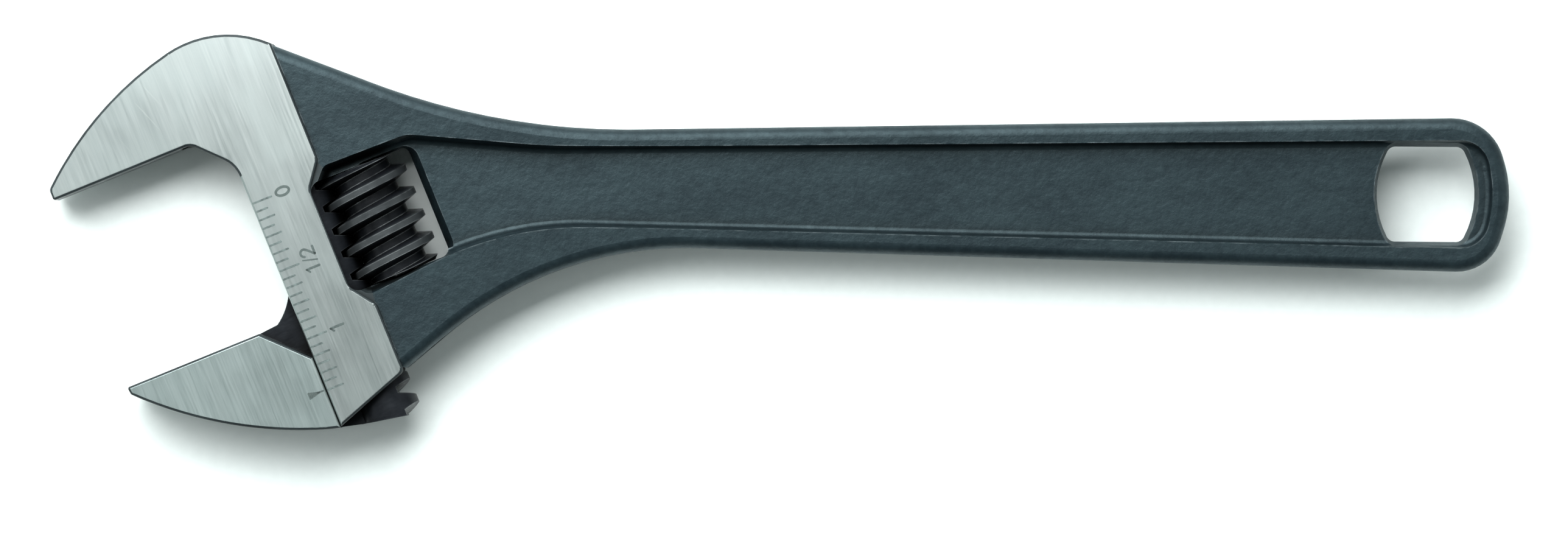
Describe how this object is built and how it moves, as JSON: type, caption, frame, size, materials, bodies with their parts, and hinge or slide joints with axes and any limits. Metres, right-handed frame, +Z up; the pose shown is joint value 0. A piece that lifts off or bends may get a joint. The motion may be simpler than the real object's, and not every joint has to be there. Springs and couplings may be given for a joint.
{
  "type": "adjustable wrench",
  "caption": "Adjustable wrench with its jaws open: black forged I-section handle with a hanging hole, bright ground jaws, and a thumb worm that drives the sliding jaw.",
  "frame": {"origin": "middle of the underside of the wrench's box, as it lies flat", "axes": "+X along the handle, away from the jaws; +Y towards the fixed jaw; +Z up through the thickness"},
  "size_m": [0.2546, 0.0688, 0.0158],
  "materials": {
    "black_forging": "matte",
    "ground_steel": "satin",
    "dark_worm": "satin",
    "pin_steel": "satin",
    "spring_steel": "satin"
  },
  "bodies": {
    "wrench_body": {"body": "black_forging", "worm_pin": "pin_steel", "worm_spring": "spring_steel"},
    "sliding_jaw": {"movable_jaw": "ground_steel"},
    "thumb_worm": {"worm": "dark_worm"}
  },
  "joints": [
    {"name": "worm_spin", "type": "hinge", "parent": "wrench_body", "child": "thumb_worm", "pos_m": [-0.06996, 0.0023, 0.00788], "axis": [0.3827, -0.9239, 0], "range_deg": [0, 2968]},
    {"name": "jaw_slide", "type": "slide", "parent": "wrench_body", "child": "sliding_jaw", "axis": [-0.3827, 0.9239, 0], "range_m": [0, 0.0349]}
  ],
  "couplings": [
    {"joint": "worm_spin", "follows": "jaw_slide", "rad_per_m": 1484.2}
  ]
}
